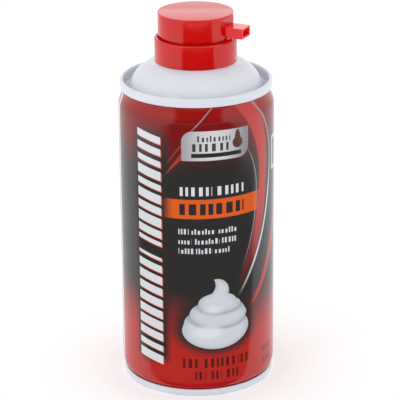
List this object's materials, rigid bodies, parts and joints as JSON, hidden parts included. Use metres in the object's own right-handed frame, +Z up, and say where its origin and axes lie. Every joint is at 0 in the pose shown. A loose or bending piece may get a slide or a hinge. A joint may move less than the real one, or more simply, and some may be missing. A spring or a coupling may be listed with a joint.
{
  "type": "shaving foam can",
  "caption": "Upright printed tinplate aerosol can with a domed shoulder and a press-down actuator whose square side spout gives out shaving foam.",
  "frame": {"origin": "centre of the can's axis in the plane that the bottom seam stands on", "axes": "+Z up the can's axis to the actuator; -Y is the front of the printed label; the spout points 26 degrees from +X towards -Y"},
  "size_m": [0.066, 0.066, 0.1619],
  "materials": {
    "printed_tinplate": "gloss print, charcoal with red ends",
    "white_lacquer": "gloss white lacquer",
    "sealing_compound": "matt",
    "bare_tinplate": "bright tinplate",
    "valve_rubber": "matt",
    "natural_plastic": "natural, satin",
    "spring_steel": "drawn wire",
    "tube_plastic": "natural, waxy",
    "red_plastic": "gloss, moulded"
  },
  "bodies": {
    "can": {"can_body": "printed_tinplate", "top_dome": "white_lacquer", "bottom_end": "white_lacquer", "top_seam_compound": "sealing_compound", "bottom_seam_compound": "sealing_compound", "mounting_cup": "bare_tinplate", "cup_gasket": "valve_rubber", "valve_housing": "natural_plastic", "stem_gasket": "valve_rubber", "valve_spring": "spring_steel", "dip_tube": "tube_plastic"},
    "collar": {"actuator_collar": "red_plastic"},
    "button": {"actuator_button": "red_plastic", "foam_spout": "red_plastic", "valve_stem": "natural_plastic"}
  },
  "joints": [
    {"name": "collar_turn", "type": "hinge", "parent": "can", "child": "collar", "pos_m": [0, 0, 0.1462], "axis": [0, 0, 1], "continuous": true},
    {"name": "button_press", "type": "slide", "parent": "collar", "child": "button", "axis": [0, 0, -1], "range_m": [0, 0.0015], "stiffness_N_per_m": 5000, "deforming": ["valve_spring"]}
  ]
}
